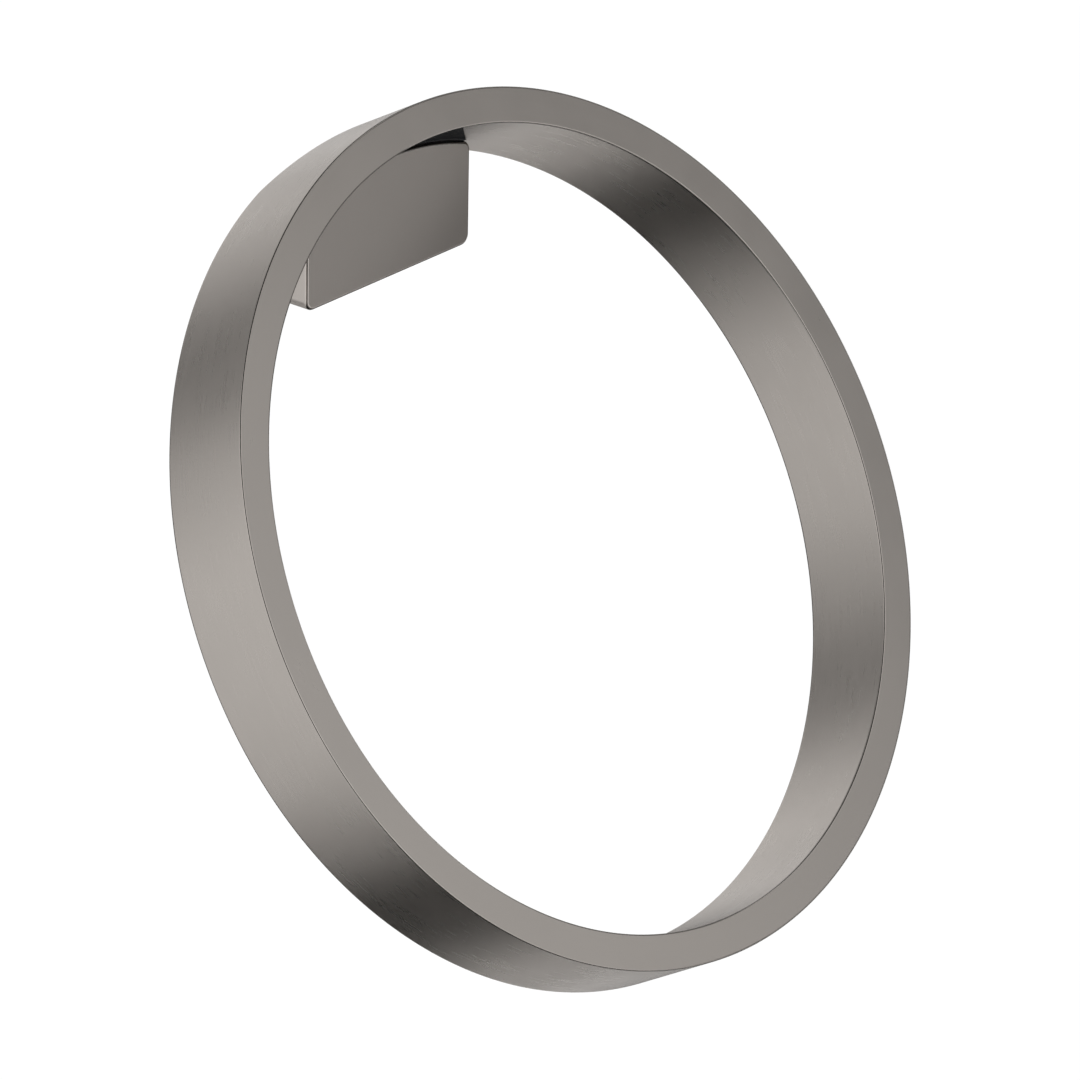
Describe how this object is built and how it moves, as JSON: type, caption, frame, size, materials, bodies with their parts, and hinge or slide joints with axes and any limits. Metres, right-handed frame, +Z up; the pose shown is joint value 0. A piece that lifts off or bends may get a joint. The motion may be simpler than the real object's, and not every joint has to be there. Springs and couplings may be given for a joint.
{
  "type": "towel ring",
  "caption": "Wall-mounted towel ring: a flat metal band in a circle that leans out of the wall, held by a shallow block with a hidden bracket.",
  "frame": {"origin": "on the wall, midway between the two wall-screw holes of the bracket", "axes": "+X right along the wall, +Y into the wall, +Z up"},
  "size_m": [0.17, 0.0999, 0.1569],
  "materials": {
    "brushed_metal": "dark warm grey, finely brushed",
    "bracket_steel": "plain rolled and pressed",
    "screw_steel": "plain, as rolled"
  },
  "bodies": {
    "root": {"ring": "brushed_metal", "mounting_block": "brushed_metal", "wall_bracket": "bracket_steel", "clamp_grub_screw": "screw_steel", "ring_screw_left": "screw_steel", "ring_screw_right": "screw_steel"}
  },
  "joints": []
}
